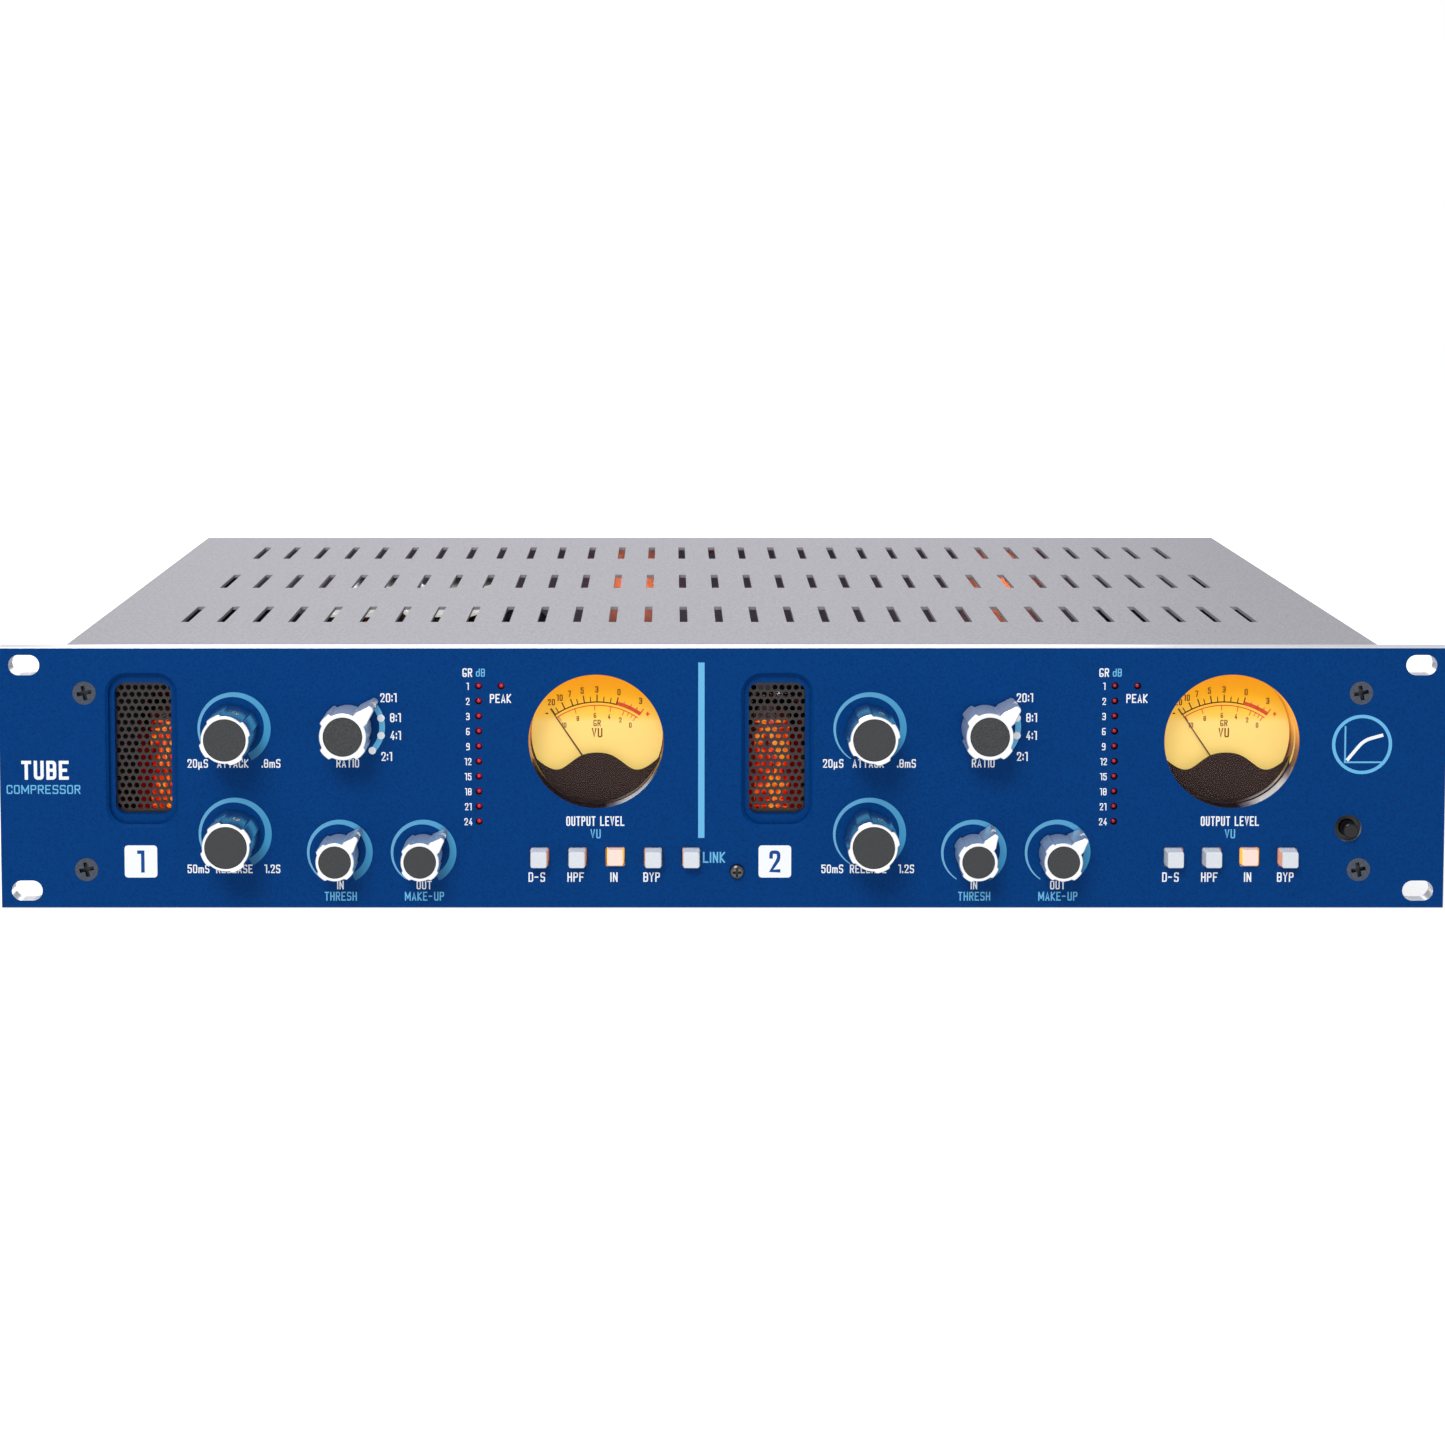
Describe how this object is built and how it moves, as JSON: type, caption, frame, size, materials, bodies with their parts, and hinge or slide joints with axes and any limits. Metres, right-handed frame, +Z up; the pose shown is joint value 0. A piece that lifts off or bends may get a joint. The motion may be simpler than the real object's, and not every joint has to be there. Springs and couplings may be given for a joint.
{
  "type": "rack compressor",
  "caption": "Two-channel valve audio compressor for a rack: blue front panel with knobs, round level meters, valve windows and lit buttons on a vented grey case.",
  "frame": {"origin": "centre of the four rack slots, on the rear face of the front panel", "axes": "+X to the right seen from the front, +Y from the front panel to the rear connectors, +Z up"},
  "size_m": [0.4826, 0.2622, 0.0882],
  "materials": {
    "panel_paint": "satin blue paint, bare machined edges",
    "case_paint": "fine textured light grey powder coat",
    "grille_black": "satin black",
    "dark_steel": "black oxide",
    "screw_steel": "plated steel",
    "black_plastic": "matte",
    "dial_amber": "lit amber dial",
    "meter_dark": "satin dark brown",
    "clear_lens": "clear polished",
    "needle_black": "matte black",
    "led_red": "tinted diffused red",
    "circuit_board": "green solder mask",
    "control_metal": "plated steel",
    "button_black": "gloss black",
    "connector_black": "satin black",
    "socket_ceramic": "glazed ceramic",
    "tube_glass": "clear glass",
    "nickel_can": "polished nickel",
    "capacitor_sleeve": "shrink sleeve",
    "transformer_tape": "yellow polyester tape",
    "knob_aluminium": "machined satin aluminium",
    "knob_cap": "fine grained dark grey",
    "button_white": "translucent white"
  },
  "bodies": {
    "case": {"audio_transformers": "nickel_can", "case_screws": "screw_steel", "chassis_tray": "case_paint", "control_boards": "circuit_board", "control_nuts": "screw_steel", "filter_capacitors": "capacitor_sleeve", "front_panel": "panel_paint", "led_lenses": "led_red", "main_board": "circuit_board", "mains_inlet": "black_plastic", "meter_dials": "dial_amber", "meter_housings": "black_plastic", "meter_lenses": "clear_lens", "meter_masks": "meter_dark", "panel_screws": "dark_steel", "power_transformer": "transformer_tape", "rear_panel": "case_paint", "rotary_controls": "control_metal", "standoffs": "screw_steel", "switch_bodies": "black_plastic", "top_cover": "case_paint", "tube_sockets": "socket_ceramic", "vacuum_tubes": "tube_glass", "window_grilles": "grille_black", "xlr_inputs": "connector_black", "xlr_outputs": "connector_black"},
    "attack_knob_1": {"attack_knob_1": "knob_aluminium", "attack_knob_1_cap_and_spindle": "knob_cap"},
    "release_knob_1": {"release_knob_1": "knob_aluminium", "release_knob_1_cap_and_spindle": "knob_cap"},
    "ratio_knob_1": {"ratio_knob_1": "knob_aluminium", "ratio_knob_1_cap_and_spindle": "knob_cap"},
    "threshold_knob_1": {"threshold_knob_1": "knob_aluminium", "threshold_knob_1_cap_and_spindle": "knob_cap"},
    "makeup_knob_1": {"makeup_knob_1": "knob_aluminium", "makeup_knob_1_cap_and_spindle": "knob_cap"},
    "attack_knob_2": {"attack_knob_2": "knob_aluminium", "attack_knob_2_cap_and_spindle": "knob_cap"},
    "release_knob_2": {"release_knob_2": "knob_aluminium", "release_knob_2_cap_and_spindle": "knob_cap"},
    "ratio_knob_2": {"ratio_knob_2": "knob_aluminium", "ratio_knob_2_cap_and_spindle": "knob_cap"},
    "threshold_knob_2": {"threshold_knob_2": "knob_aluminium", "threshold_knob_2_cap_and_spindle": "knob_cap"},
    "makeup_knob_2": {"makeup_knob_2": "knob_aluminium", "makeup_knob_2_cap_and_spindle": "knob_cap"},
    "bypass_button_1": {"bypass_button_1": "button_white"},
    "bypass_button_2": {"bypass_button_2": "button_white"},
    "de_esser_button_1": {"de_esser_button_1": "button_white"},
    "de_esser_button_2": {"de_esser_button_2": "button_white"},
    "in_button_1": {"in_button_1": "button_white"},
    "in_button_2": {"in_button_2": "button_white"},
    "link_button": {"link_button": "button_white"},
    "low_cut_button_1": {"low_cut_button_1": "button_white"},
    "low_cut_button_2": {"low_cut_button_2": "button_white"},
    "power_button": {"power_button": "button_black"},
    "meter_needle_1": {"meter_needle_1": "needle_black"},
    "xlr_latch_1": {"xlr_latch_1": "screw_steel"},
    "meter_needle_2": {"meter_needle_2": "needle_black"},
    "xlr_latch_2": {"xlr_latch_2": "screw_steel"}
  },
  "joints": [
    {"name": "attack_knob_1_turn", "type": "hinge", "parent": "case", "child": "attack_knob_1", "pos_m": [-0.1628, -0.012, 0.0168], "axis": [0, 1, 0], "range_deg": [-168, 132]},
    {"name": "release_knob_1_turn", "type": "hinge", "parent": "case", "child": "release_knob_1", "pos_m": [-0.1628, -0.012, -0.0188], "axis": [0, 1, 0], "range_deg": [-166, 134]},
    {"name": "ratio_knob_1_turn", "type": "hinge", "parent": "case", "child": "ratio_knob_1", "pos_m": [-0.1247, -0.012, 0.0172], "axis": [0, 1, 0], "range_deg": [0, 90]},
    {"name": "threshold_knob_1_turn", "type": "hinge", "parent": "case", "child": "threshold_knob_1", "pos_m": [-0.1279, -0.012, -0.025], "axis": [0, 1, 0], "range_deg": [-192, 108]},
    {"name": "makeup_knob_1_turn", "type": "hinge", "parent": "case", "child": "makeup_knob_1", "pos_m": [-0.0999, -0.012, -0.025], "axis": [0, 1, 0], "range_deg": [-195, 105]},
    {"name": "attack_knob_2_turn", "type": "hinge", "parent": "case", "child": "attack_knob_2", "pos_m": [0.0491, -0.012, 0.0168], "axis": [0, 1, 0], "range_deg": [-173, 127]},
    {"name": "release_knob_2_turn", "type": "hinge", "parent": "case", "child": "release_knob_2", "pos_m": [0.0491, -0.012, -0.0188], "axis": [0, 1, 0], "range_deg": [-173, 127]},
    {"name": "ratio_knob_2_turn", "type": "hinge", "parent": "case", "child": "ratio_knob_2", "pos_m": [0.0872, -0.012, 0.0172], "axis": [0, 1, 0], "range_deg": [0, 90]},
    {"name": "threshold_knob_2_turn", "type": "hinge", "parent": "case", "child": "threshold_knob_2", "pos_m": [0.084, -0.012, -0.025], "axis": [0, 1, 0], "range_deg": [-183.4, 116.6]},
    {"name": "makeup_knob_2_turn", "type": "hinge", "parent": "case", "child": "makeup_knob_2", "pos_m": [0.112, -0.012, -0.025], "axis": [0, 1, 0], "range_deg": [-195.5, 104.5]},
    {"name": "bypass_button_1_press", "type": "slide", "parent": "case", "child": "bypass_button_1", "axis": [0, 1, 0], "range_m": [0, 0.003], "stiffness_N_per_m": 300},
    {"name": "bypass_button_2_press", "type": "slide", "parent": "case", "child": "bypass_button_2", "axis": [0, 1, 0], "range_m": [0, 0.003], "stiffness_N_per_m": 300},
    {"name": "de_esser_button_1_press", "type": "slide", "parent": "case", "child": "de_esser_button_1", "axis": [0, 1, 0], "range_m": [0, 0.003], "stiffness_N_per_m": 300},
    {"name": "de_esser_button_2_press", "type": "slide", "parent": "case", "child": "de_esser_button_2", "axis": [0, 1, 0], "range_m": [0, 0.003], "stiffness_N_per_m": 300},
    {"name": "in_button_1_press", "type": "slide", "parent": "case", "child": "in_button_1", "axis": [0, 1, 0], "range_m": [-0.0025, 0.0005]},
    {"name": "in_button_2_press", "type": "slide", "parent": "case", "child": "in_button_2", "axis": [0, 1, 0], "range_m": [-0.0025, 0.0005]},
    {"name": "link_button_press", "type": "slide", "parent": "case", "child": "link_button", "axis": [0, 1, 0], "range_m": [0, 0.003], "stiffness_N_per_m": 300},
    {"name": "low_cut_button_1_press", "type": "slide", "parent": "case", "child": "low_cut_button_1", "axis": [0, 1, 0], "range_m": [0, 0.003], "stiffness_N_per_m": 300},
    {"name": "low_cut_button_2_press", "type": "slide", "parent": "case", "child": "low_cut_button_2", "axis": [0, 1, 0], "range_m": [0, 0.003], "stiffness_N_per_m": 300},
    {"name": "power_button_press", "type": "slide", "parent": "case", "child": "power_button", "axis": [0, 1, 0], "range_m": [0, 0.003], "stiffness_N_per_m": 300},
    {"name": "meter_needle_1_swing", "type": "hinge", "parent": "case", "child": "meter_needle_1", "pos_m": [-0.0422, 0.0045, -0.002], "axis": [0, 1, 0], "range_deg": [0, 70], "stiffness_Nm_per_rad": 0.0002},
    {"name": "xlr_latch_1_press", "type": "slide", "parent": "case", "child": "xlr_latch_1", "axis": [0, -1, 0], "range_m": [0, 0.002], "stiffness_N_per_m": 300},
    {"name": "meter_needle_2_swing", "type": "hinge", "parent": "case", "child": "meter_needle_2", "pos_m": [0.1697, 0.0045, -0.002], "axis": [0, 1, 0], "range_deg": [0, 70], "stiffness_Nm_per_rad": 0.0002},
    {"name": "xlr_latch_2_press", "type": "slide", "parent": "case", "child": "xlr_latch_2", "axis": [0, -1, 0], "range_m": [0, 0.002], "stiffness_N_per_m": 300}
  ]
}
